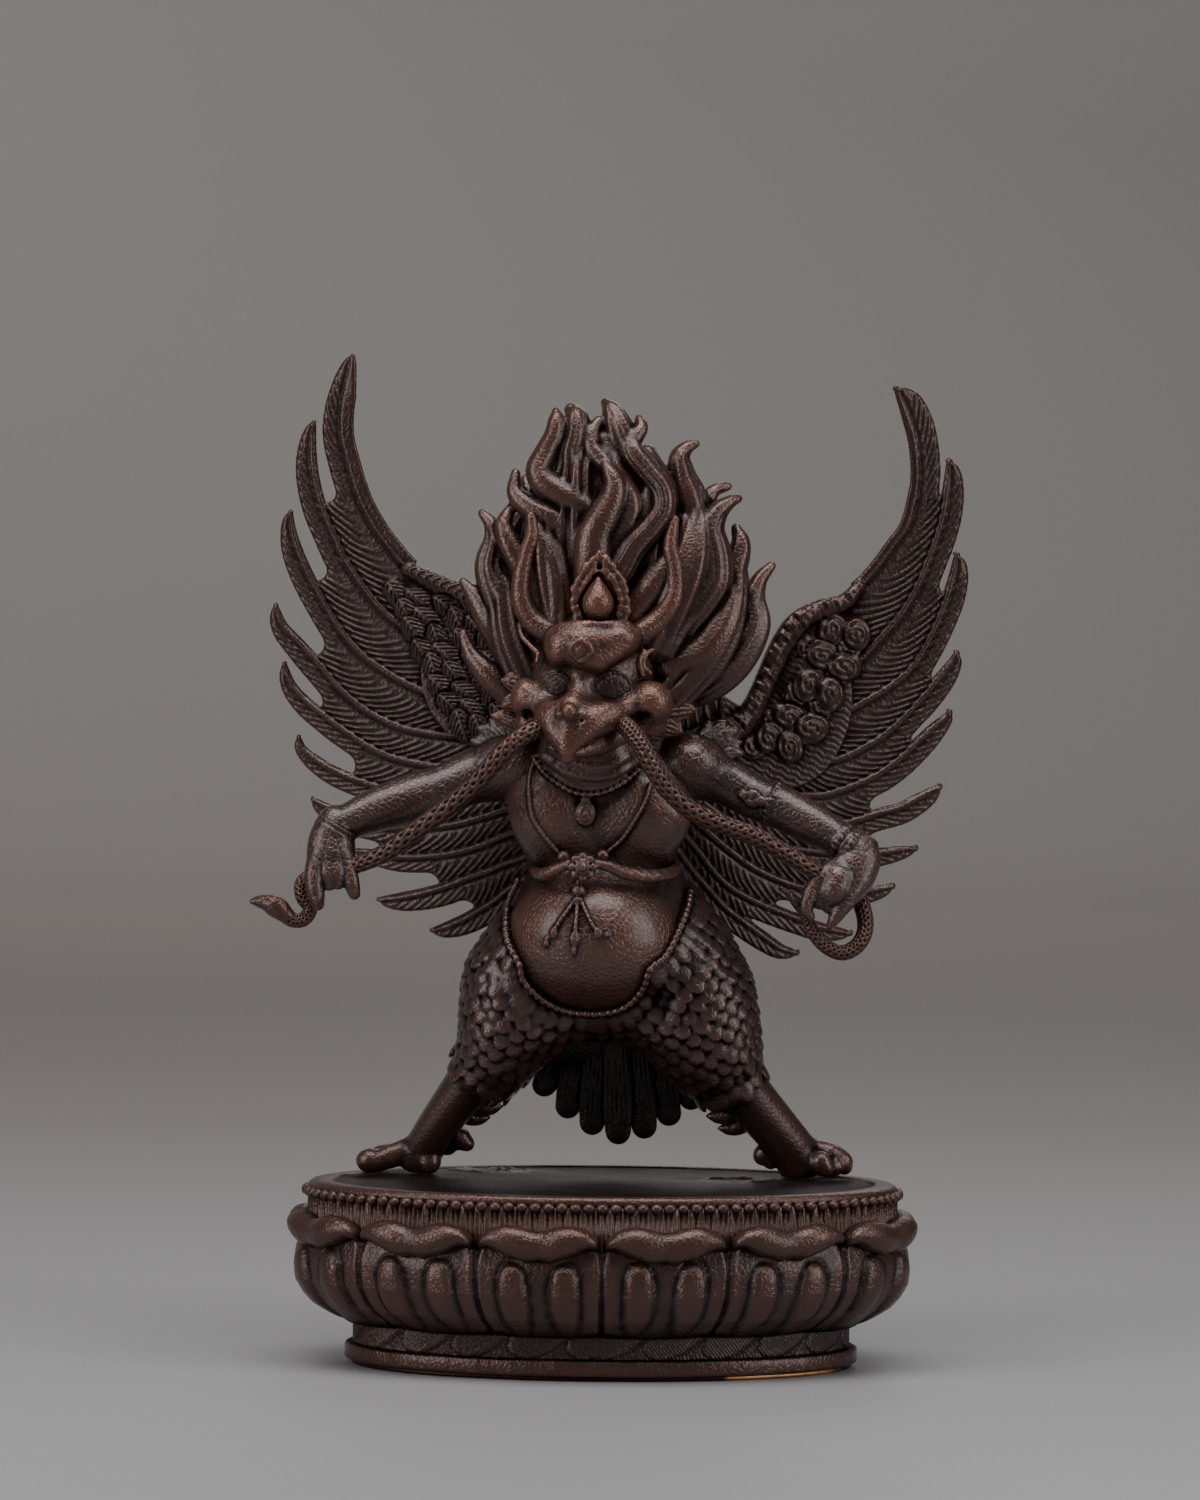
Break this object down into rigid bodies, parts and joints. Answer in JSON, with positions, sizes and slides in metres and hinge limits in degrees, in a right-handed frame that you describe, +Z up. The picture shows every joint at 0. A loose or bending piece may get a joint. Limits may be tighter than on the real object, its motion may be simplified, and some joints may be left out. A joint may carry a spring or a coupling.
{
  "type": "garuda figure",
  "caption": "Small cast figure of a winged, horned bird-man with a snake in beak and hands, striding on an oval lotus plinth that a thin plate seals from below.",
  "frame": {"origin": "middle of the underside of the sealing plate, where the object rests", "axes": "+Z up, -Y the front that the figure faces, +X to the right of someone who looks at the front"},
  "size_m": [0.0905, 0.0498, 0.1274],
  "materials": {
    "figure_patina": "cast copper alloy, dark brown oxidised, rubbed to reddish copper on the high spots",
    "plinth_patina": "cast copper alloy, dark brown oxidised, a little duller than the figure",
    "plate_copper": "thin copper sheet, bare and bright at its cut edge"
  },
  "bodies": {
    "root": {"garuda_figure": "figure_patina", "lotus_plinth": "plinth_patina", "base_plate": "plate_copper"}
  },
  "joints": []
}
